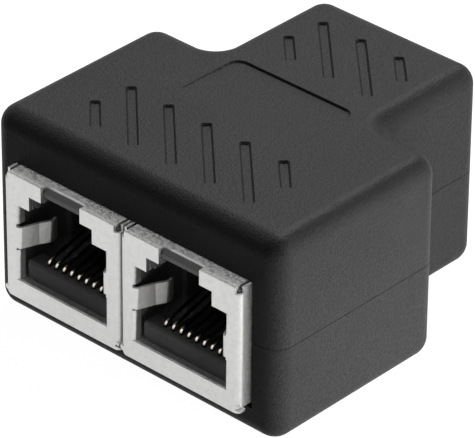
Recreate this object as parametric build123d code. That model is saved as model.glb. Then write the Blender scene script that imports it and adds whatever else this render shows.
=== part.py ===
from build123d import *
from math import radians, sqrt, tan
import os

# A moulded T-shaped housing joins one eight-way socket behind to two sockets in front.
# Lengths are in millimetres: X runs across the two front sockets, Y from front to back, Z up.
# The origin is on the resting plane, below the middle of the width and of the length.

# Housing, outside
block_width = 38.1
block_depth = 23.3
stem_width = 21.4
stem_length = 15.9
housing_height = 22.85
seam_height = 10.9
corner_round = 2.2
nook_round = 2.2
rim_round = 2.1
seam_bevel = 0.06

# Housing, inside
side_wall = 1.6
floor_wall = 1.2
roof_wall = 1.8
tongue_thickness = 0.7
tongue_height = 0.9
rib_thickness = 1.4
rib_inset = 2.6
rib_spacing = 7.0
post_diameter = 3.0
pin_diameter = 1.6
post_inset = 2.5

# Grip slots and sunk label area in the roof
slot_pitch = 5.08
slot_width = 1.15
slot_depth = 0.5
slot_end_round = 0.3
block_slot_count = 6
stem_slot_count = 4
band_width = 8.0
block_band_length = 24.6
stem_band_length = 14.3
block_band_inset = 8.0
stem_band_inset = 8.65
label_width = 15.8
label_length = 9.4
label_depth = 0.45
label_overhang = 0.1
label_round = 1.3

# Circuit board
board_thickness = 1.6
solder_room = 0.65

# Sheet-metal shield
shield_width = 15.66
shield_height = 14.15
shield_depth = 18.0
shield_proud = 1.78
sheet = 0.3
fold_round = 0.3
corner_slit = 0.3
corner_relief = 0.7
flange_length = 0.95
foot_round = 0.9
foot_slot_floor = 0.33
foot_slot_height = 0.3
foot_slot_length = 0.5
rear_panel_lift = 1.0
peg_width = 1.4
peg_length = 2.0
peg_setback = 6.6

# Mouth of the socket: three steps, widest at the bottom
mouth_floor = 2.13
mouth_widths = (11.9, 8.58, 5.3)
mouth_levels = (10.85, 12.46)
mouth_cut_back = 0.9
lip_length = 1.0

# Earthing springs cut from the shield at both sides of the mouth
spring_floor = 5.85
spring_height = 2.4
spring_slit = 0.3
spring_slit_depth = 0.2
spring_reach = (1.93, 1.33, 0.85)
spring_lean = (0.69, 0.71, -0.5)
spring_curl = 0.8
spring_tip_round = 0.5

# Plastic insert inside the shield
insert_lip = 0.1
frame_thickness = 0.75
cavity_depth = 12.4
side_pocket = 0.6
side_pocket_length = 6.2
slot_roof_drop = 1.1
insert_floor_width = 10.2
insert_rear_width = 12.8
insert_rear_height = 11.9
insert_corner = 0.3

# Contacts and the carrier that holds them
contact_count = 8
contact_pitch = 1.02
contact_width = 0.32
contact_thickness = 0.3
run_height = 1.05
crown_setback = 1.95
crown_height = 4.45
crown_bend = 0.35
contact_slope = 16.0
contact_end = 11.4
tail_setback = 8.9
tail_row_gap = 2.54
tail_length = 2.1
carrier_floor_height = 2.0
carrier_slot_floor = 0.8
nose_width = 11.4
nose_length = 1.9
nose_height = 4.05
nose_bevel = 0.2
comb_length = 1.9
comb_height = 8.2

# Clearances
fit_gap = 0.1
jack_gap = 0.2
insert_gap = 0.05
slot_gap = 0.06
board_gap = 0.3
hole_gap = 0.2
overrun = 1.0
near = 0.01

# Places that follow from the sizes
jack_pitch = shield_width + jack_gap
front_face = -(block_depth + stem_length) / 2
rear_face = -front_face
block_back = front_face + block_depth
board_top = floor_wall + solder_room + board_thickness
shield_top = board_top + shield_height
jack_front = front_face - shield_proud
jack_places = {
    "left": Pos(-jack_pitch / 2, jack_front, board_top),
    "right": Pos(jack_pitch / 2, jack_front, board_top),
    "rear": Pos(0, -jack_front, board_top) * Rot(0, 0, 180),
}
contact_offsets = [(i - (contact_count - 1) / 2) * contact_pitch for i in range(contact_count)]
insert_front = sheet + insert_gap
insert_back = shield_depth - sheet - insert_gap
frame_back = insert_front + frame_thickness
insert_width = shield_width - 2 * (sheet + insert_gap)
insert_height = shield_height - sheet - insert_gap
insert_floor = mouth_floor + insert_lip
cavity_back = insert_front + cavity_depth


def block_between(x_span, y_span, z_span):
    """Straight-sided solid that fills the given spans."""
    plan = Pos((x_span[0] + x_span[1]) / 2, (y_span[0] + y_span[1]) / 2)
    plan *= Rectangle(x_span[1] - x_span[0], y_span[1] - y_span[0])
    return Pos(0, 0, z_span[0]) * extrude(plan, z_span[1] - z_span[0])


def tee(inset):
    """T-shaped plan with sharp corners, drawn in from the outline of the housing."""
    block = Pos(0, (front_face + block_back) / 2)
    block *= Rectangle(block_width - 2 * inset, block_depth - 2 * inset)
    stem = Pos(0, rear_face - inset) * Rectangle(
        stem_width - 2 * inset, stem_length + inset, align=(Align.CENTER, Align.MAX))
    return block + stem


def tee_corners(plan, inset):
    """Outer corners of the T, and its two nooks between the block and the stem."""
    nook = stem_width / 2 - inset
    nooks = plan.vertices().filter_by(
        lambda v: abs(v.Y - block_back + inset) < near and abs(abs(v.X) - nook) < near)
    return [v for v in plan.vertices() if v not in nooks], nooks


def housing_plan():
    """Outline of the housing, round at its outer corners and in its nooks."""
    plan = tee(0)
    plan = fillet(tee_corners(plan, 0)[0], corner_round)
    return fillet(tee_corners(plan, 0)[1], nook_round)


def wall_plan(inset):
    """Outline of a surface inside the wall, cut straight where the housing is round."""
    across = 2 - sqrt(2)
    plan = tee(inset)
    plan = chamfer(tee_corners(plan, inset)[0], max(corner_round - inset, side_wall / 4) * across)
    return chamfer(tee_corners(plan, inset)[1], (nook_round + inset) * across)


def aperture_cutter():
    """Openings in the end walls that the shields pass through with a small clearance."""
    height = shield_height + 2 * fit_gap
    front = Rectangle(jack_pitch + shield_width + 2 * fit_gap, height, align=(Align.CENTER, Align.MIN))
    rear = Rectangle(shield_width + 2 * fit_gap, height, align=(Align.CENTER, Align.MIN))
    sill = board_top - fit_gap
    depth = side_wall + 2 * overrun
    front_cut = extrude(Plane.XZ.offset(-front_face + overrun) * Pos(0, sill) * front, -depth)
    rear_cut = extrude(Plane.XZ.offset(-rear_face - overrun) * Pos(0, sill) * rear, depth)
    return front_cut + rear_cut


def housing_body():
    """Whole outside form of the housing: the T plan raised and rounded along both rims."""
    body = extrude(housing_plan(), housing_height)
    rims = body.edges().group_by(Axis.Z)[0] + body.edges().group_by(Axis.Z)[-1]
    return fillet(rims, rim_round)


def cavity():
    """Room inside the housing for the board and the sockets."""
    return Pos(0, 0, floor_wall) * extrude(wall_plan(side_wall), housing_height - floor_wall - roof_wall)


def slot_band(length, centre_y, count):
    """Slanted grip slots at 45 degrees whose ends stay inside a band of the given length."""
    slots = Sketch()
    for i in range(count):
        shift = (i - (count - 1) / 2) * slot_pitch
        low = max(-band_width / 2, shift - length / 2)
        high = min(band_width / 2, shift + length / 2)
        middle = (low + high) / 2
        slot = RectangleRounded((high - low) * sqrt(2), slot_width, slot_end_round)
        slots += Pos(shift - middle, centre_y + middle) * Rot(0, 0, -45) * slot
    return slots


def roof_slots():
    """Cutter for the ten slots, six on the block and four on the stem."""
    slots = slot_band(block_band_length, front_face + block_band_inset, block_slot_count)
    slots += slot_band(stem_band_length, rear_face - stem_band_inset, stem_slot_count)
    return Pos(0, 0, housing_height - slot_depth) * extrude(slots, slot_depth + overrun)


def label_cutter():
    """Sunk label area that is deepest at its back edge and runs out flush in front."""
    back = block_back + label_overhang
    front = back - label_length
    above = housing_height + overrun
    wedge = Polyline(
        (front, housing_height), (back, housing_height - label_depth),
        (back, above), (front, above), close=True)
    wedge = extrude(Plane.YZ * make_face(wedge), label_width / 2, both=True)
    plan = Pos(0, (front + back) / 2) * RectangleRounded(label_width, label_length, label_round)
    return wedge & extrude(plan, above)


def hold_down_ribs():
    """Ribs under the roof that keep the shields on the board."""
    bottom = shield_top + fit_gap
    height = housing_height - roof_wall - bottom
    length = shield_width - 2 * side_wall
    ribs = Sketch()
    for side in (-1, 1):
        for row in (0, 1):
            y = front_face + side_wall + rib_inset + row * rib_spacing
            ribs += Pos(side * jack_pitch / 2, y) * Rectangle(length, rib_thickness)
    for row in (0, 1):
        y = rear_face - side_wall - rib_inset - row * rib_spacing
        ribs += Pos(0, y) * Rectangle(length, rib_thickness)
    return Pos(0, 0, bottom) * extrude(ribs, height)


def make_upper_shell():
    shell = split(housing_body(), bisect_by=Plane.XY.offset(seam_height), keep=Keep.TOP)
    shell = chamfer(shell.faces().sort_by(Axis.Z)[0].outer_wire().edges(), seam_bevel)
    shell -= cavity()
    rebate = wall_plan(side_wall - tongue_thickness - fit_gap)
    shell -= Pos(0, 0, seam_height) * extrude(rebate, tongue_height + fit_gap)
    shell += hold_down_ribs()
    shell -= aperture_cutter()
    shell -= roof_slots()
    shell -= label_cutter()
    return shell


def post_places():
    """Places of the posts that carry the board, clear of the sockets' tails and pegs."""
    edge = side_wall + post_inset
    rows = [
        (jack_pitch / 2, front_face + edge),
        (block_width / 2 - edge, block_back - edge),
        (shield_width / 2 - post_inset, rear_face - edge)]
    return [(side * x, y) for x, y in rows for side in (-1, 1)]


def make_lower_shell():
    shell = split(housing_body(), bisect_by=Plane.XY.offset(seam_height), keep=Keep.BOTTOM)
    shell = chamfer(shell.faces().sort_by(Axis.Z)[-1].outer_wire().edges(), seam_bevel)
    shell -= cavity()
    tongue = wall_plan(side_wall - tongue_thickness) - wall_plan(side_wall)
    shell += Pos(0, 0, seam_height) * extrude(tongue, tongue_height)
    shell -= aperture_cutter()
    for x, y in post_places():
        post = extrude(Pos(x, y) * Circle(post_diameter / 2), floor_wall + solder_room)
        pin = extrude(Pos(x, y) * Circle(pin_diameter / 2), board_top - fit_gap)
        shell += post + pin
    return shell


def jack_point(place, x, y):
    """Plan position of a point of a socket, given in the socket's own frame."""
    point = (place * Pos(x, y, 0)).position
    return point.X, point.Y


def make_circuit_board():
    plan = wall_plan(side_wall + board_gap)
    holes = Sketch()
    for x, y in post_places():
        holes += Pos(x, y) * Circle(pin_diameter / 2 + fit_gap)
    for place in jack_places.values():
        for i, offset in enumerate(contact_offsets):
            x, y = jack_point(place, offset, tail_setback + (i % 2) * tail_row_gap)
            holes += Pos(x, y) * RegularPolygon(contact_width / 2 + hole_gap, 8, major_radius=False)
        for side in (-1, 1):
            x, y = jack_point(place, side * (shield_width - sheet) / 2, peg_setback)
            holes += Pos(x, y) * Rectangle(sheet + 2 * hole_gap, peg_width + 2 * hole_gap)
    return Pos(0, 0, board_top - board_thickness) * extrude(plan - holes, board_thickness)


def folded_sheet(points, thickness, bend):
    """Profile of a sheet or wire folded along a line of points, with one bend or a list of them."""
    return trace(FilletPolyline(*points, radius=bend), line_width=thickness)


def mouth_profile(grow, floor, roof):
    """Stepped mouth of a socket, seen from the front, moved in or out by grow."""
    half = [width / 2 + grow for width in mouth_widths]
    levels = [level + grow for level in mouth_levels]
    return make_face(Polyline(
        (-half[0], floor), (half[0], floor), (half[0], levels[0]), (half[1], levels[0]),
        (half[1], levels[1]), (half[2], levels[1]), (half[2], roof), (-half[2], roof),
        (-half[2], levels[1]), (-half[1], levels[1]), (-half[1], levels[0]), (-half[0], levels[0]),
        close=True))


def into_jack(profile, start, end):
    """Solid of a front-view profile between two depths of the socket."""
    return extrude(Plane.XZ.offset(-start) * profile, -(end - start))


def make_earthing_spring(side):
    """One spring, folded back from the edge of the mouth and curled at its tip."""
    x = mouth_widths[0] / 2 - sheet / 2
    y = sheet / 2
    points = [(x + spring_slit_depth + sheet, y), (x, y)]
    for reach, lean in zip(spring_reach, spring_lean):
        x -= lean
        y += reach
        points.append((x, y))
    bends = [fold_round, fold_round, spring_curl]
    profile = folded_sheet([(side * px, py) for px, py in points], sheet, bends)
    spring = Pos(0, 0, spring_floor) * extrude(profile, spring_height)
    tip = spring.faces().sort_by(Axis.Y)[-1]
    corners = tip.edges().filter_by(lambda e: abs(e.tangent_at(0).Z) < near)
    corners = corners.filter_by(lambda e: e.length < 2 * sheet)
    return fillet(corners, spring_tip_round)


def with_mouth_lips(shield, side):
    """Shield with the edge of its mouth folded back below and above the spring."""
    edge = mouth_widths[0] / 2
    x = edge + sheet / 2
    fold = 2 * fold_round
    points = [(edge + fold, sheet / 2), (x, sheet / 2), (x, lip_length)]
    profile = folded_sheet([(side * px, py) for px, py in points], sheet, fold_round)
    low = mouth_floor, spring_floor - spring_slit
    high = spring_floor + spring_height + spring_slit, mouth_levels[0]
    for floor, roof in (low, high):
        flat = Pos(side * (edge + fold / 2), (floor + roof) / 2) * Rectangle(fold, roof - floor)
        shield -= into_jack(flat, -overrun, sheet + fit_gap)
        shield += Pos(0, 0, floor) * extrude(profile, roof - floor)
    return shield


def make_shield():
    """Shield folded from one sheet: face, two sides, top, back panel, foot flange and pegs."""
    mid = sheet / 2
    bend = fold_round + mid
    wide = shield_width / 2 - mid
    side_line = [(-wide, shield_depth), (-wide, mid), (wide, mid), (wide, shield_depth)]
    wrap = extrude(folded_sheet(side_line, sheet, bend), shield_height)

    top = shield_height - mid
    back = shield_depth - mid
    hood_line = [(flange_length, mid), (mid, mid), (mid, top), (back, top), (back, rear_panel_lift)]
    hood_width = shield_width - 2 * (sheet + corner_slit)
    hood = extrude(Plane.YZ * folded_sheet(hood_line, sheet, bend), hood_width / 2, both=True)

    relief = Sketch()
    for side in (-1, 1):
        relief += Pos(side * (hood_width / 2 + corner_relief / 2), shield_height) * Rectangle(
            corner_relief, 2 * corner_relief)
    shield = wrap - into_jack(relief, -overrun, corner_relief) + hood

    foot_line = [(flange_length, mid), (mid, mid), (mid, 2 * bend)]
    shield += extrude(Plane.YZ * folded_sheet(foot_line, sheet, bend), shield_width / 2, both=True)
    left = -shield_width / 2
    round_off = Pos(left, 0) * Rectangle(2 * foot_round, 2 * foot_round)
    round_off -= Pos(left + foot_round, foot_round) * Circle(foot_round)
    shield -= into_jack(round_off, -overrun, shield_depth + overrun)
    slot = Pos(shield_width / 2, foot_slot_floor) * Rectangle(
        2 * foot_slot_length, foot_slot_height, align=(Align.CENTER, Align.MIN))
    shield -= into_jack(slot, -overrun, flange_length + fit_gap)
    side_foot = Pos(shield_width / 2, 0) * Rectangle(
        2 * foot_slot_length, 2 * (foot_slot_floor + foot_slot_height))
    shield -= into_jack(side_foot, flange_length, shield_depth + overrun)

    mouth = mouth_profile(0, mouth_floor, shield_height + overrun)
    shield -= into_jack(mouth, -overrun, mouth_cut_back)
    slits = Sketch()
    for side in (-1, 1):
        for z in (spring_floor - spring_slit / 2, spring_floor + spring_height + spring_slit / 2):
            slits += Pos(side * mouth_widths[0] / 2, z) * Rectangle(2 * spring_slit_depth, spring_slit)
    shield -= into_jack(slits, -overrun, sheet + fit_gap)
    for side in (-1, 1):
        shield = with_mouth_lips(shield, side) + make_earthing_spring(side)
        peg = Pos(side * wide, peg_setback) * Rectangle(sheet, peg_width)
        peg_top = foot_slot_floor + foot_slot_height + sheet
        shield += Pos(0, 0, -peg_length) * extrude(peg, peg_length + peg_top)
    return shield


def make_insert():
    """Plastic body of the socket, with a thin front frame and pockets for the springs."""
    outer = Pos(0, insert_height / 2 + insert_gap) * Rectangle(insert_width, insert_height - insert_gap)
    body = into_jack(outer, insert_front, insert_back)
    body = chamfer(body.edges(), insert_corner)
    foot = Rectangle(shield_width, 2 * (sheet + fold_round))
    body -= into_jack(foot, 0, flange_length + insert_gap)

    roof = shield_height - slot_roof_drop
    body -= into_jack(mouth_profile(-insert_lip, insert_floor, roof), 0, cavity_back)

    half = mouth_widths[0] / 2 - insert_lip
    pocket_top = mouth_levels[0] - 2 * insert_lip
    pocket = Pos(0, (carrier_floor_height + pocket_top) / 2)
    pocket *= Rectangle(2 * (half + side_pocket), pocket_top - carrier_floor_height)
    body -= into_jack(pocket, frame_back, frame_back + side_pocket_length)

    gate_low = mouth_floor - insert_gap
    gate_high = mouth_levels[0] + insert_gap
    gate = Pos(0, (gate_low + gate_high) / 2) * Rectangle(2 * (half + side_pocket), gate_high - gate_low)
    body -= into_jack(gate, 0, frame_back)

    under = Pos(0, mouth_floor / 2) * Rectangle(insert_floor_width, mouth_floor + 2 * insert_lip)
    body -= into_jack(under, frame_back, insert_back + overrun)
    rear = Pos(0, insert_rear_height / 2) * Rectangle(insert_rear_width, insert_rear_height)
    return body - into_jack(rear, cavity_back, insert_back + overrun)


def make_carrier():
    """Carrier behind and below the mouth, with a slot for each contact and a comb."""
    floor_width = insert_floor_width - 2 * insert_gap
    floor_plan = Pos(0, frame_back + insert_gap) * Rectangle(
        floor_width, cavity_back - frame_back, align=(Align.CENTER, Align.MIN))
    carrier = Pos(0, 0, insert_gap) * extrude(floor_plan, carrier_floor_height - insert_gap)
    rear_plan = Pos(0, cavity_back + insert_gap) * Rectangle(
        insert_rear_width - 2 * insert_gap, insert_back - cavity_back - insert_gap,
        align=(Align.CENTER, Align.MIN))
    rear = Pos(0, 0, insert_gap) * extrude(rear_plan, insert_rear_height - 2 * insert_gap)
    comb_front = cavity_back - comb_length
    comb_plan = Pos(0, comb_front) * Rectangle(
        floor_width, comb_length + 2 * insert_gap, align=(Align.CENTER, Align.MIN))
    nose_plan = Pos(0, frame_back + insert_gap) * Rectangle(
        nose_width, nose_length, align=(Align.CENTER, Align.MIN))
    nose_base = insert_floor + insert_gap
    nose = Pos(0, 0, nose_base) * extrude(nose_plan, nose_height - nose_base)
    nose = chamfer(nose.edges().filter_by(Axis.X).group_by(Axis.Z)[-1].sort_by(Axis.Y)[0], nose_bevel)
    neck_plan = Pos(0, frame_back + insert_gap) * Rectangle(
        floor_width, nose_length, align=(Align.CENTER, Align.MIN))
    carrier += rear + nose + extrude(neck_plan, nose_height - nose_bevel) + extrude(comb_plan, comb_height)

    half_slot = contact_width / 2 + slot_gap
    half_wire = contact_thickness / 2 + slot_gap
    slot_height = (carrier_slot_floor, comb_height + overrun)
    for i, x in enumerate(contact_offsets):
        span = (x - half_slot, x + half_slot)
        carrier -= block_between(span, (crown_setback - half_wire, cavity_back), slot_height)
        tail = tail_setback + (i % 2) * tail_row_gap
        carrier -= block_between(span, (tail - half_wire, tail + half_wire), (0, carrier_slot_floor))
    return carrier


def make_contact(offset, tail):
    """Spring contact: tail, run along the floor, post in the nose, round crown and slope."""
    rise = (contact_end - crown_setback) * tan(radians(contact_slope))
    line = [
        (tail, -tail_length), (tail, run_height), (crown_setback, run_height),
        (crown_setback, crown_height), (contact_end, crown_height + rise)]
    profile = folded_sheet(line, contact_thickness, [0, 0, crown_bend])
    return Pos(offset, 0, 0) * extrude(Plane.YZ * profile, contact_width / 2, both=True)


def jack_nodes(name, place):
    """All the pieces of one socket, placed in the housing."""
    nodes = {
        f"{name}_shield": place * make_shield(),
        f"{name}_insert": place * make_insert(),
        f"{name}_carrier": place * make_carrier(),
    }
    for i, offset in enumerate(contact_offsets):
        tail = tail_setback + (i % 2) * tail_row_gap
        nodes[f"{name}_contact_{i + 1}"] = place * make_contact(offset, tail)
    return nodes


nodes = {
    "upper_shell": make_upper_shell(),
    "lower_shell": make_lower_shell(),
    "circuit_board": make_circuit_board(),
}
for name, place in jack_places.items():
    nodes.update(jack_nodes(name, place))

os.makedirs("parts", exist_ok=True)
for name, node in nodes.items():
    export_step(node, f"parts/{name}.step")
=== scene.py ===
import math

import bmesh
import bpy
import numpy as np
from mathutils import Matrix, Vector


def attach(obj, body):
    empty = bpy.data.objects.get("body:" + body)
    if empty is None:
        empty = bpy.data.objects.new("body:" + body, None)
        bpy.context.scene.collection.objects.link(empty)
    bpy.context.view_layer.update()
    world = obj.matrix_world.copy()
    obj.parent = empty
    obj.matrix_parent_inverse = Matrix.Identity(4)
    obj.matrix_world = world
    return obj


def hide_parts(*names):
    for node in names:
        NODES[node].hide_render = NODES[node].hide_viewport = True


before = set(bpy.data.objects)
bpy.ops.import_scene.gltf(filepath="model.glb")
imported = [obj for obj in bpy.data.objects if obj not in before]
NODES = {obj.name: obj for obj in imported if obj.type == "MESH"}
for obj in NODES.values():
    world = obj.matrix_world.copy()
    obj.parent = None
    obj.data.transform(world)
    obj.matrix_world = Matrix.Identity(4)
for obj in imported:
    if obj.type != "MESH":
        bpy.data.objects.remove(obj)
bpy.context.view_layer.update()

MM = 0.001

# The photograph: a long lens looks down on the front right corner of the adapter.
IMAGE_WIDTH = 475
FOCAL_PIXELS = 4511.0
SENSOR_WIDTH = 36.0
CAMERA_AZIMUTH = math.radians(42.676)
CAMERA_ELEVATION = math.radians(32.069)
CAMERA_ROLL = math.radians(0.456)
CAMERA_PLACE = Vector((255.85, -282.11, 247.58)) * MM
CLIP_NEAR = 0.01
CLIP_FAR = 10.0

# Rounding of the edges that the model leaves sharp
SHELL_EDGE = 0.12 * MM
SHEET_EDGE = 0.06 * MM
INSERT_EDGE = 0.08 * MM
EDGE_STEPS = 3
SHARP_ANGLE = math.radians(32)
MERGE_GAP = 0.0005 * MM
FLAT_ANGLE = math.radians(0.3)
FLAT_WEIGHT = 100

# Studio: half the floor's width in metres, share and strength of its own white, how much light the
# room gives, and the height that the lamps point at
FLOOR_REACH = 2.0
FLOOR_GLOW = 0.86
FLOOR_WHITE = 1.14
ROOM_LIGHT = 0.06
LAMP_TARGET = Vector((0, 0, 12)) * MM

# Sockets: where each one stands, and which way it faces
JACK_PITCH = 15.86 * MM
JACK_FRONT = -21.38 * MM
JACK_FLOOR = 3.45 * MM
JACKS = {"left": (-JACK_PITCH / 2, 1), "right": (JACK_PITCH / 2, 1), "rear": (0.0, -1)}

# Spring contacts: a drawn wire of soft square section
CONTACT_COUNT = 8
CONTACT_PITCH = 1.02 * MM
WIRE_WIDTH = 0.32 * MM
WIRE_THICKNESS = 0.3 * MM
WIRE_SQUARENESS = 3.0
WIRE_POINTS = 16
TAIL_SETBACK = 8.9 * MM
TAIL_ROW_GAP = 2.54 * MM
TAIL_LENGTH = 2.1 * MM
RUN_HEIGHT = 1.05 * MM
CROWN_SETBACK = 1.95 * MM
CROWN_HEIGHT = 4.45 * MM
CROWN_BEND = 0.35 * MM
BEND_STEPS = 10
CONTACT_SLOPE = math.radians(16.0)
CONTACT_END = 11.4 * MM

# Gold of the crowns, bright there as a painted glint while the rest of the wire is painted dark as shade:
# how far out and how high up it starts and is full
GLINT_PLATING_START = 18.9 * MM
GLINT_PLATING_FULL = 19.3 * MM
GLINT_PLATING_LOW = 7.7 * MM
GLINT_PLATING_HIGH = 7.95 * MM

# Painted light on the inserts: palest on the floor of the mouth, a faint share from the contacts upwards
MOUTH_LIGHT_FLOOR = 4.6 * MM
MOUTH_LIGHT_TOP = 7.6 * MM
MOUTH_LIGHT_LEAST = 0.14

# Painted shade on the outer sides of the front shields, mottled: how far out it starts, and how it deepens
# from the face towards the housing
HOUSING_SHADE_START = 15.45 * MM
HOUSING_SHADE_FULL = 15.6 * MM
HOUSING_SHADE_FRONT = 21.2 * MM
HOUSING_SHADE_BACK = 19.7 * MM
HOUSING_SHADE_DEEPEST = 0.35

# Slots and label area of the roof: depths that count as a recess, share of the depth that is kept,
# how far the floors draw in, the slant they lie at, and how level a floor is
ROOF = 22.85 * MM
RECESS_DEPTHS = (0.1 * MM, 0.6 * MM)
RECESS_KEPT = 0.58
RECESS_DRAFT = 0.19 * MM
RECESS_SLANT = math.radians(45)
LEVEL = 0.99


# Colour and node helpers

def paint(code):
    """Linear colour of an sRGB hex code."""
    channels = [int(code[i:i + 2], 16) / 255 for i in (1, 3, 5)]
    linear = [c / 12.92 if c <= 0.04045 else ((c + 0.055) / 1.055) ** 2.4 for c in channels]
    return (*linear, 1.0)


def put(tree, kind, settings=None, links=None):
    """Adds a node of a kind, sets its values and links its inputs."""
    node = tree.nodes.new(kind)
    for key, value in (settings or {}).items():
        if isinstance(key, str) and hasattr(node, key):
            setattr(node, key, value)
        else:
            node.inputs[key].default_value = value
    for key, source in (links or {}).items():
        tree.links.new(source, node.inputs[key])
    return node


def new_material(name):
    """An empty material and its node tree."""
    material = bpy.data.materials.new(name)
    material.use_nodes = True
    material.node_tree.nodes.clear()
    return material, material.node_tree


def finish_material(tree, shader):
    """Links a shader to the material's output."""
    put(tree, "ShaderNodeOutputMaterial", links={"Surface": shader.outputs[0]})


def per_metre(size_mm):
    """Texture scale at which one cell of a pattern is about the given size."""
    return 1.0 / (size_mm * MM)


# Materials

def spark_eroded_abs():
    """Black ABS from a spark-eroded mould: matte, with an even grain that breaks up the light."""
    material, tree = new_material("spark_eroded_abs")
    place = put(tree, "ShaderNodeTexCoord").outputs["Object"]
    grain = put(tree, "ShaderNodeTexNoise", {"Scale": per_metre(0.2), "Detail": 1.0}, {"Vector": place})
    pits = put(tree, "ShaderNodeTexNoise", {"Scale": per_metre(0.45), "Detail": 3.0}, {"Vector": place})
    cloud = put(tree, "ShaderNodeTexNoise", {"Scale": per_metre(7.0), "Detail": 2.0}, {"Vector": place})
    tone = put(tree, "ShaderNodeMix", {"data_type": "RGBA", "A": paint("#2a2a2a"), "B": paint("#313131")},
               {"Factor": cloud.outputs["Fac"]})
    speck = put(tree, "ShaderNodeMix", {"data_type": "RGBA", "blend_type": "MULTIPLY", "Factor": 0.8},
                {"A": tone.outputs["Result"], "B": grain.outputs["Fac"]})
    rough = put(tree, "ShaderNodeMapRange", {"To Min": 0.42, "To Max": 0.55},
                {"Value": pits.outputs["Fac"]})
    coarse = put(tree, "ShaderNodeBump", {"Strength": 0.6, "Distance": 0.06 * MM},
                 {"Height": pits.outputs["Fac"]})
    fine = put(tree, "ShaderNodeBump", {"Strength": 1.0, "Distance": 0.055 * MM},
               {"Height": grain.outputs["Fac"], "Normal": coarse.outputs["Normal"]})
    shader = put(tree, "ShaderNodeBsdfPrincipled", {"IOR": 1.5, "Specular IOR Level": 0.05},
                 {"Base Color": speck.outputs["Result"], "Roughness": rough.outputs["Result"],
                  "Normal": fine.outputs["Normal"]})
    finish_material(tree, shader)
    return material


def nickel_plated_sheet():
    """Nickel-plated steel sheet: satin, with fine rolling marks, a pebbled mottle, scuffed top folds
    and painted shade on the outer sides, mottled, that darkens towards the housing.
    """
    material, tree = new_material("nickel_plated_sheet")
    coordinates = put(tree, "ShaderNodeTexCoord")
    place = coordinates.outputs["Object"]
    along = put(tree, "ShaderNodeMapping", {"Scale": (1.0, 1.0, 0.08)}, {"Vector": place})
    lines = put(tree, "ShaderNodeTexNoise", {"Scale": per_metre(0.25), "Detail": 2.0},
                {"Vector": along.outputs["Vector"]})
    pebble = put(tree, "ShaderNodeTexNoise", {"Scale": per_metre(0.45), "Detail": 3.0, "Roughness": 0.6},
                 {"Vector": place})
    tone = put(tree, "ShaderNodeMix", {"data_type": "RGBA", "A": paint("#bcbcbb"), "B": paint("#dcdcdb")},
               {"Factor": pebble.outputs["Fac"]})
    facing = put(tree, "ShaderNodeSeparateXYZ", links={0: coordinates.outputs["Normal"]})
    upward = put(tree, "ShaderNodeMapRange", {"From Min": 0.4, "From Max": 0.9},
                 {"Value": facing.outputs["Z"]})
    parts = put(tree, "ShaderNodeSeparateXYZ", links={0: place})
    aside = put(tree, "ShaderNodeMath", {"operation": "ABSOLUTE"}, {0: parts.outputs["X"]})
    outer = put(tree, "ShaderNodeMapRange", {"From Min": HOUSING_SHADE_START, "From Max": HOUSING_SHADE_FULL},
                {"Value": aside.outputs[0]})
    depth = put(tree, "ShaderNodeMath", {"operation": "ABSOLUTE"}, {0: parts.outputs["Y"]})
    inner = put(tree, "ShaderNodeMapRange", {"From Min": HOUSING_SHADE_FRONT, "From Max": HOUSING_SHADE_BACK,
                                             "To Max": HOUSING_SHADE_DEEPEST}, {"Value": depth.outputs[0]})
    streaks = put(tree, "ShaderNodeTexNoise", {"Scale": per_metre(0.3), "Detail": 4.0, "Roughness": 0.7},
                  {"Vector": place})
    shade_mottle = put(tree, "ShaderNodeMapRange", {"From Min": 0.35, "From Max": 0.6, "To Min": 0.3},
                {"Value": streaks.outputs["Fac"]})
    patch = put(tree, "ShaderNodeMath", {"operation": "MULTIPLY"},
                {0: outer.outputs[0], 1: inner.outputs[0]})
    # painted shade: the outer sides darken towards the housing, broken up by a mottle
    painted_shade = put(tree, "ShaderNodeMath", {"operation": "MULTIPLY"},
                 {0: patch.outputs[0], 1: shade_mottle.outputs[0]})
    shaded_tone = put(tree, "ShaderNodeMix", {"data_type": "RGBA", "B": paint("#343434")},
                  {"Factor": painted_shade.outputs[0], "A": tone.outputs["Result"]})
    satin = put(tree, "ShaderNodeMapRange", {"To Min": 0.36, "To Max": 0.54},
                {"Value": pebble.outputs["Fac"]})
    scuffed = put(tree, "ShaderNodeMapRange",
                  {"From Min": 0.4, "From Max": 0.6, "To Min": 0.55, "To Max": 0.95},
                  {"Value": lines.outputs["Fac"]})
    rough = put(tree, "ShaderNodeMix",
                links={"Factor": upward.outputs[0], "A": satin.outputs[0], "B": scuffed.outputs[0]})
    rolled = put(tree, "ShaderNodeBump", {"Strength": 0.1, "Distance": 0.02 * MM},
                 {"Height": lines.outputs["Fac"]})
    bump = put(tree, "ShaderNodeBump", {"Strength": 0.45, "Distance": 0.05 * MM},
               {"Height": pebble.outputs["Fac"], "Normal": rolled.outputs["Normal"]})
    shader = put(tree, "ShaderNodeBsdfPrincipled", {"Metallic": 1.0},
                 {"Base Color": shaded_tone.outputs["Result"], "Roughness": rough.outputs["Result"],
                  "Normal": bump.outputs["Normal"]})
    finish_material(tree, shader)
    return material


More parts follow.
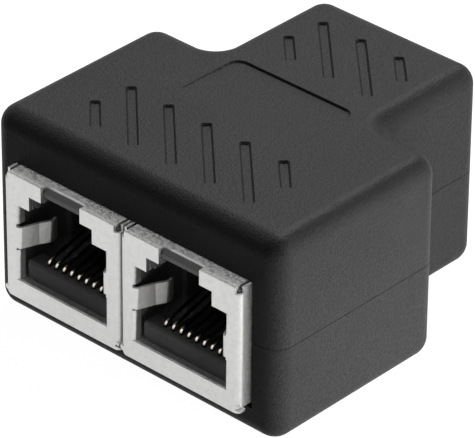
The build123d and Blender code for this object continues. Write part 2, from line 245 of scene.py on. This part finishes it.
def moulded_pbt():
    """Black glass-filled PBT of the inserts: a faint fibre mottle, and painted light that makes it paler
    low in the front mouths, fading upwards.
    """
    material, tree = new_material("moulded_pbt")
    place = put(tree, "ShaderNodeTexCoord").outputs["Object"]
    fibre = put(tree, "ShaderNodeTexNoise", {"Scale": per_metre(0.4), "Detail": 4.0}, {"Vector": place})
    body = put(tree, "ShaderNodeMix", {"data_type": "RGBA", "A": paint("#323232"), "B": paint("#3e3e3e")},
               {"Factor": fibre.outputs["Fac"]})
    parts = put(tree, "ShaderNodeSeparateXYZ", links={0: place})
    low = put(tree, "ShaderNodeMapRange",
              {"From Min": MOUTH_LIGHT_TOP, "From Max": MOUTH_LIGHT_FLOOR, "To Min": MOUTH_LIGHT_LEAST},
              {"Value": parts.outputs["Z"]})
    specks = put(tree, "ShaderNodeTexNoise", {"Scale": per_metre(0.35), "Detail": 5.0, "Roughness": 0.7},
                 {"Vector": place})
    light_mottle = put(tree, "ShaderNodeMapRange", {"From Min": 0.35, "From Max": 0.6, "To Min": 0.6},
               {"Value": specks.outputs["Fac"]})
    front = put(tree, "ShaderNodeMath", {"operation": "LESS_THAN", 1: 0.0}, {0: parts.outputs["Y"]})
    light_share = put(tree, "ShaderNodeMath", {"operation": "MULTIPLY"}, {0: low.outputs[0], 1: light_mottle.outputs[0]})
    # painted light: paler low in the front mouths, mottled, fading upwards
    painted_light = put(tree, "ShaderNodeMath", {"operation": "MULTIPLY"}, {0: light_share.outputs[0], 1: front.outputs[0]})
    tone = put(tree, "ShaderNodeMix", {"data_type": "RGBA", "B": paint("#e8e8e8")},
               {"Factor": painted_light.outputs[0], "A": body.outputs["Result"]})
    rough = put(tree, "ShaderNodeMapRange", {"To Min": 0.38, "To Max": 0.52},
                {"Value": fibre.outputs["Fac"]})
    bump = put(tree, "ShaderNodeBump", {"Strength": 0.3, "Distance": 0.03 * MM},
               {"Height": fibre.outputs["Fac"]})
    shader = put(tree, "ShaderNodeBsdfPrincipled", {"IOR": 1.55},
                 {"Base Color": tone.outputs["Result"], "Roughness": rough.outputs["Result"],
                  "Normal": bump.outputs["Normal"]})
    finish_material(tree, shader)
    return material


def dull_pbt():
    """PBT of the contact carriers, painted a mid grey that stands in for light reaching deep into the
    mouths: a matte, glass-filled grade with a faint fibre mottle.
    """
    material, tree = new_material("dull_pbt")
    place = put(tree, "ShaderNodeTexCoord").outputs["Object"]
    fibre = put(tree, "ShaderNodeTexNoise", {"Scale": per_metre(0.5), "Detail": 4.0}, {"Vector": place})
    # painted light: a mid grey in place of the light that reaches deep into the mouths
    tone = put(tree, "ShaderNodeMix", {"data_type": "RGBA", "A": paint("#6c6c6c"), "B": paint("#7c7c7c")},
               {"Factor": fibre.outputs["Fac"]})
    rough = put(tree, "ShaderNodeMapRange", {"To Min": 0.5, "To Max": 0.65},
                {"Value": fibre.outputs["Fac"]})
    bump = put(tree, "ShaderNodeBump", {"Strength": 0.4, "Distance": 0.03 * MM},
               {"Height": fibre.outputs["Fac"]})
    shader = put(tree, "ShaderNodeBsdfPrincipled", {"IOR": 1.5, "Specular IOR Level": 0.15},
                 {"Base Color": tone.outputs["Result"], "Roughness": rough.outputs["Result"],
                  "Normal": bump.outputs["Normal"]})
    finish_material(tree, shader)
    return material


def gold_plated_bronze():
    """Phosphor bronze wire with a gold flash on the crowns only, bright there as a painted glint and
    painted dark elsewhere as shade: glossy, with faint drawing marks.
    """
    material, tree = new_material("gold_plated_bronze")
    place = put(tree, "ShaderNodeTexCoord").outputs["Object"]
    draw = put(tree, "ShaderNodeTexNoise", {"Scale": per_metre(0.3), "Detail": 2.0}, {"Vector": place})
    rough = put(tree, "ShaderNodeMapRange", {"To Min": 0.16, "To Max": 0.28},
                {"Value": draw.outputs["Fac"]})
    parts = put(tree, "ShaderNodeSeparateXYZ", links={0: place})
    depth = put(tree, "ShaderNodeMath", {"operation": "ABSOLUTE"}, {0: parts.outputs["Y"]})
    outer = put(tree, "ShaderNodeMapRange", {"From Min": GLINT_PLATING_START, "From Max": GLINT_PLATING_FULL},
                {"Value": depth.outputs[0]})
    upper = put(tree, "ShaderNodeMapRange", {"From Min": GLINT_PLATING_LOW, "From Max": GLINT_PLATING_HIGH},
                {"Value": parts.outputs["Z"]})
    # painted glint on the crowns, and painted shade on the rest of the wire
    crown = put(tree, "ShaderNodeMath", {"operation": "MULTIPLY"},
                {0: outer.outputs[0], 1: upper.outputs[0]})
    tone = put(tree, "ShaderNodeMix", {"data_type": "RGBA", "A": paint("#575248"), "B": paint("#f2ead6")},
               {"Factor": crown.outputs[0]})
    shader = put(tree, "ShaderNodeBsdfPrincipled", {"Metallic": 1.0},
                 {"Base Color": tone.outputs["Result"], "Roughness": rough.outputs["Result"]})
    finish_material(tree, shader)
    return material


def glass_epoxy_board():
    """Glass-epoxy board under green solder mask: a faint weave below a glossy coat."""
    material, tree = new_material("glass_epoxy_board")
    place = put(tree, "ShaderNodeTexCoord").outputs["Object"]
    weave = put(tree, "ShaderNodeTexChecker",
                {"Scale": per_metre(0.5), "Color1": paint("#0e3d22"), "Color2": paint("#124628")},
                {"Vector": place})
    shader = put(tree, "ShaderNodeBsdfPrincipled", {"Roughness": 0.35},
                 {"Base Color": weave.outputs["Color"]})
    finish_material(tree, shader)
    return material


# Pieces

def draft_recesses(work):
    """Raises the floor of each recess of the roof and draws it in, so that the walls lean outwards.

    The floor is scaled about the point above its middle at the height of the roof, along axes that
    lie at the slant of the slots. A floor that reaches r from its middle is scaled by 1 - draft / r.
    """
    for floor in work.faces:
        middle = floor.calc_center_median()
        if floor.normal.z < LEVEL or not RECESS_DEPTHS[0] < ROOF - middle.z < RECESS_DEPTHS[1]:
            continue
        middle.z = ROOF
        across = Matrix.Rotation(RECESS_SLANT, 4, "Z") @ Matrix.Translation(-middle)
        corners = [across @ corner.co for corner in floor.verts]
        half = [max(abs(corner[axis]) for corner in corners) for axis in (0, 1)]
        scale = [1 - RECESS_DRAFT / reach for reach in half] + [RECESS_KEPT]
        bmesh.ops.scale(work, vec=scale, space=across, verts=floor.verts)


def softened(node, name, edge):
    """A merged copy of a node whose sharp edges are rounded by a small radius."""
    source = NODES[node]
    mesh = source.data.copy()
    mesh.name = name
    work = bmesh.new()
    work.from_mesh(mesh)
    bmesh.ops.remove_doubles(work, verts=work.verts, dist=MERGE_GAP)
    bmesh.ops.dissolve_limit(work, angle_limit=FLAT_ANGLE, verts=work.verts, edges=work.edges)
    draft_recesses(work)
    work.to_mesh(mesh)
    work.free()
    piece = bpy.data.objects.new(name, mesh)
    bpy.context.scene.collection.objects.link(piece)
    mesh.materials.clear()
    mesh.shade_smooth()
    bevel = piece.modifiers.new("edge", "BEVEL")
    bevel.width = edge
    bevel.segments = EDGE_STEPS
    bevel.limit_method = "ANGLE"
    bevel.angle_limit = SHARP_ANGLE
    bevel.harden_normals = True
    bevel.use_clamp_overlap = True
    normals = piece.modifiers.new("flat", "WEIGHTED_NORMAL")
    normals.mode = "FACE_AREA"
    normals.weight = FLAT_WEIGHT
    return piece


def path_with_bends(corners, bends):
    """Path through corners, each replaced by an arc of the given radius that touches both legs.

    The arc turns through the angle between the legs, and starts at radius * tan(angle / 2)
    from the corner. Its point at share t of the turn is start + radius * (sin(t * angle) * leg
    + (1 - cos(t * angle)) * inward), where inward stands square to the leg it leaves.
    """
    pieces = [corners[:1]]
    for before, corner, after, radius in zip(corners, corners[1:], corners[2:], bends):
        leave = (corner - before) / np.linalg.norm(corner - before)
        enter = (after - corner) / np.linalg.norm(after - corner)
        turn = math.acos(np.clip(leave @ enter, -1, 1))
        inward = (enter - leave * (leave @ enter)) / math.sin(turn)
        share = np.linspace(0, turn, BEND_STEPS)[:, None]
        start = corner - leave * radius * math.tan(turn / 2)
        pieces.append(start + radius * (np.sin(share) * leave + (1 - np.cos(share)) * inward))
    return np.concatenate(pieces + [corners[-1:]])


def swept_wire(name, path):
    """Wire whose section |u|^k + |v|^k = 1, stretched to width and thickness, follows a plane path.

    The exponent k is the squareness. The section stands square to the mean direction of the legs
    that meet at each point.
    """
    ring = WIRE_POINTS
    angle = np.linspace(0, 2 * np.pi, ring, endpoint=False)
    reach = (np.abs(np.cos(angle)) ** WIRE_SQUARENESS + np.abs(np.sin(angle)) ** WIRE_SQUARENESS)
    reach **= -1 / WIRE_SQUARENESS
    across = WIRE_WIDTH / 2 * reach * np.cos(angle)
    lift = WIRE_THICKNESS / 2 * reach * np.sin(angle)
    along = np.diff(path, axis=0)
    along /= np.linalg.norm(along, axis=1)[:, None]
    ahead = np.concatenate([along[:1], along[:-1] + along[1:], along[-1:]])
    ahead /= np.linalg.norm(ahead, axis=1)[:, None]
    mitre = 1 / np.einsum("ij,ij->i", ahead, np.concatenate([along[:1], along]))
    square = np.stack([-ahead[:, 1], ahead[:, 0]], 1) * mitre[:, None]
    plane = path[:, None] + square[:, None] * lift[None, :, None]
    points = np.concatenate([np.broadcast_to(across[None, :, None], plane[..., :1].shape), plane], 2)
    row = np.arange(len(path) - 1)[:, None] * ring
    here, there = np.arange(ring), np.roll(np.arange(ring), -1)
    quads = np.stack([row + here, row + there, row + ring + there, row + ring + here], 2)
    caps = [list(range(ring))[::-1], list(range((len(path) - 1) * ring, len(path) * ring))]
    mesh = bpy.data.meshes.new(name)
    mesh.from_pydata(points.reshape(-1, 3).tolist(), [], quads.reshape(-1, 4).tolist() + caps)
    mesh.shade_smooth()
    return mesh


def contact_mesh(name, tail):
    """Spring contact in its socket's own frame: tail, run, post, round crown and slope."""
    rise = (CONTACT_END - CROWN_SETBACK) * math.tan(CONTACT_SLOPE)
    corners = np.array([
        (tail, -TAIL_LENGTH), (tail, RUN_HEIGHT), (CROWN_SETBACK, RUN_HEIGHT),
        (CROWN_SETBACK, CROWN_HEIGHT), (CONTACT_END, CROWN_HEIGHT + rise)])
    bends = (WIRE_THICKNESS / 2, WIRE_THICKNESS / 2, CROWN_BEND)
    return swept_wire(name, path_with_bends(corners, bends))


def make_contact(jack, number):
    """One contact, moved from its socket's frame to its place."""
    centre, facing = JACKS[jack]
    order = number - 1
    offset = (order - (CONTACT_COUNT - 1) / 2) * CONTACT_PITCH
    name = f"{jack}_wire_{number}"
    mesh = contact_mesh(name, TAIL_SETBACK + (order % 2) * TAIL_ROW_GAP)
    turn = Matrix.Diagonal((facing, facing, 1, 1))
    place = Matrix.Translation((centre, facing * JACK_FRONT, JACK_FLOOR))
    mesh.transform(place @ turn @ Matrix.Translation((offset, 0, 0)))
    wire = bpy.data.objects.new(name, mesh)
    bpy.context.scene.collection.objects.link(wire)
    return wire


def dress(piece, node, material):
    """Gives a piece its material and its body, and hides the node that it stands for."""
    piece.data.materials.append(material)
    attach(piece, "root")
    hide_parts(node)


def repaint(node, material):
    """Gives a node's own mesh a better material."""
    mesh = NODES[node].data
    mesh.materials.clear()
    mesh.materials.append(material)
    mesh.shade_smooth()


abs_black = spark_eroded_abs()
nickel = nickel_plated_sheet()
pbt = moulded_pbt()
dull = dull_pbt()
gold = gold_plated_bronze()
laminate = glass_epoxy_board()

for half in ("upper_shell", "lower_shell"):
    dress(softened(half, f"housing_{half}", SHELL_EDGE), half, abs_black)
for jack in JACKS:
    folded = softened(f"{jack}_shield", f"{jack}_folded_shield", SHEET_EDGE)
    dress(folded, f"{jack}_shield", nickel)
    moulded = softened(f"{jack}_insert", f"{jack}_moulded_insert", INSERT_EDGE)
    dress(moulded, f"{jack}_insert", pbt)
    repaint(f"{jack}_carrier", dull)
    for i in range(1, CONTACT_COUNT + 1):
        dress(make_contact(jack, i), f"{jack}_contact_{i}", gold)
repaint("circuit_board", laminate)


# Floor, lights and camera

def seen(tree):
    """1 for the rays of the camera and for reflections, 0 for the light that falls on things."""
    path = put(tree, "ShaderNodeLightPath")
    either = put(tree, "ShaderNodeMath", {"operation": "MAXIMUM"},
                 {0: path.outputs["Is Camera Ray"], 1: path.outputs["Is Glossy Ray"]})
    return either.outputs[0]


def make_floor():
    """Pale floor that looks white to the camera and keeps the object's shadow."""
    mesh = bpy.data.meshes.new("floor")
    corners = [(x * FLOOR_REACH, y * FLOOR_REACH, 0) for x, y in ((-1, -1), (1, -1), (1, 1), (-1, 1))]
    mesh.from_pydata(corners, [], [(0, 1, 2, 3)])
    floor = bpy.data.objects.new("floor", mesh)
    bpy.context.scene.collection.objects.link(floor)
    material, tree = new_material("pale_floor")
    looks = seen(tree)
    share = put(tree, "ShaderNodeMath", {"operation": "MULTIPLY", 1: FLOOR_GLOW}, {0: looks})
    tone = put(tree, "ShaderNodeMix", {"data_type": "RGBA", "A": paint("#484848"), "B": paint("#f0f0f0")},
               {"Factor": looks})
    paper = put(tree, "ShaderNodeBsdfDiffuse", links={"Color": tone.outputs["Result"]})
    glow = put(tree, "ShaderNodeEmission", {"Color": paint("#ffffff"), "Strength": FLOOR_WHITE})
    both = put(tree, "ShaderNodeMixShader",
               links={"Fac": share.outputs[0], 1: paper.outputs[0], 2: glow.outputs[0]})
    finish_material(tree, both)
    mesh.materials.append(material)


def make_world():
    """White studio: bright where it is seen or reflected, dim as a source of light."""
    world = bpy.data.worlds.new("studio")
    world.use_nodes = True
    tree = world.node_tree
    tree.nodes.clear()
    light = put(tree, "ShaderNodeBackground", {"Color": paint("#ffffff"), "Strength": ROOM_LIGHT})
    back = put(tree, "ShaderNodeBackground", {"Color": paint("#ffffff"), "Strength": 1.0})
    both = put(tree, "ShaderNodeMixShader",
               links={"Fac": seen(tree), 1: light.outputs[0], 2: back.outputs[0]})
    put(tree, "ShaderNodeOutputWorld", links={"Surface": both.outputs[0]})
    bpy.context.scene.world = world


def soft_box(name, azimuth, elevation, distance, width, height, power, fill=True, glint=True):
    """Oblong area lamp that points at the object from an azimuth and an elevation in degrees.

    Its distance, width and height are in metres and its power in watts. Without glint it lights
    the surfaces but isn't mirrored in them, and without fill the reverse.
    """
    data = bpy.data.lights.new(name, "AREA")
    data.shape = "RECTANGLE"
    data.size = width
    data.size_y = height
    data.energy = power
    lamp = bpy.data.objects.new(name, data)
    bpy.context.scene.collection.objects.link(lamp)
    a, e = math.radians(azimuth), math.radians(elevation)
    away = Vector((math.sin(a) * math.cos(e), -math.cos(a) * math.cos(e), math.sin(e)))
    lamp.location = away * distance + LAMP_TARGET
    lamp.rotation_euler = away.to_track_quat("Z", "Y").to_euler()
    lamp.visible_camera = False
    lamp.visible_diffuse = fill
    lamp.visible_glossy = glint


def make_camera():
    """Camera at the photograph's place, turned by azimuth, elevation and a slight roll."""
    a, e, r = CAMERA_AZIMUTH, CAMERA_ELEVATION, CAMERA_ROLL
    right = Vector((math.cos(a), math.sin(a), 0))
    ahead = Vector((-math.sin(a) * math.cos(e), math.cos(a) * math.cos(e), -math.sin(e)))
    up = right.cross(ahead)
    across = math.cos(r) * right + math.sin(r) * up
    over = math.cos(r) * up - math.sin(r) * right
    data = bpy.data.cameras.new("photograph")
    data.sensor_width = SENSOR_WIDTH
    data.lens = FOCAL_PIXELS / IMAGE_WIDTH * SENSOR_WIDTH
    data.clip_start = CLIP_NEAR
    data.clip_end = CLIP_FAR
    camera = bpy.data.objects.new("photograph", data)
    bpy.context.scene.collection.objects.link(camera)
    turn = Matrix((across, over, -ahead)).transposed()
    camera.matrix_world = Matrix.Translation(CAMERA_PLACE) @ turn.to_4x4()
    bpy.context.scene.camera = camera


make_floor()
make_world()

# The key stands high behind the left, the low strip fills the right side from close by, and the side
# lamp is only mirrored in the shields.
soft_box("key", azimuth=202, elevation=56, distance=0.6, width=0.2, height=0.2, power=6.2)
soft_box("low", azimuth=93, elevation=-9.6, distance=0.055, width=0.07, height=0.008, power=0.105,
         glint=False)
soft_box("side", azimuth=104, elevation=4, distance=0.3, width=0.3, height=0.2, power=1.5, fill=False)

make_camera()
bpy.context.scene.view_settings.view_transform = "Standard"
